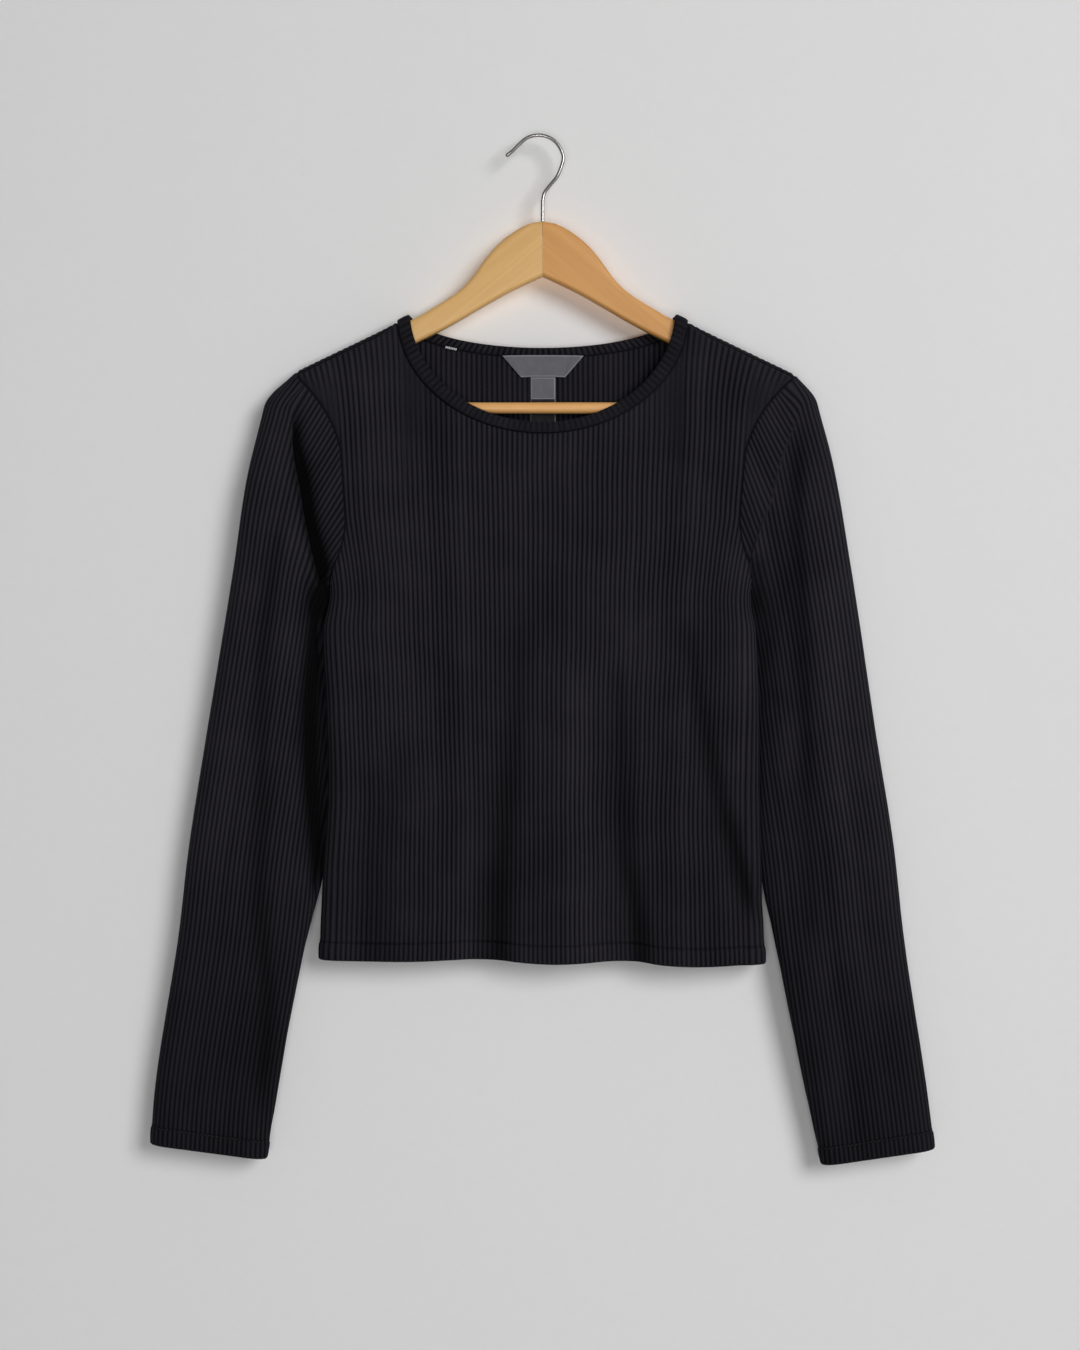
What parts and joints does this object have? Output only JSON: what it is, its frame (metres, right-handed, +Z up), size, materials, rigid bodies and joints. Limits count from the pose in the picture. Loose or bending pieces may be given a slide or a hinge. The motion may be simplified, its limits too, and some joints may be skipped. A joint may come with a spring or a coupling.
{
  "type": "crop top on a hanger",
  "caption": "Fitted rib-knit crop top with a round neck and long sleeves, on a flat wooden hanger with a bar and a wire hook.",
  "frame": {"origin": "under the crown of the hanger's hook, where a rail, peg or nail carries it", "axes": "+Z up, -Y out of the front of the top, +X to the right of someone who looks at the front"},
  "size_m": [0.629, 0.0356, 0.8249],
  "materials": {
    "knit": "soft matt rib knit, black with a faint violet tint",
    "label": "dense grey woven satin, bare",
    "wood": "honey-coloured, satin lacquer",
    "steel": "polished wire"
  },
  "bodies": {
    "root": {"front_panel": "knit", "back_panel": "knit", "sleeve_left": "knit", "sleeve_right": "knit", "neckband": "knit", "neck_label": "label", "size_tag": "label", "care_label": "label", "hanger_arm_left": "wood", "hanger_arm_right": "wood", "hanger_bar": "wood", "hanger_hook": "steel"}
  },
  "joints": []
}
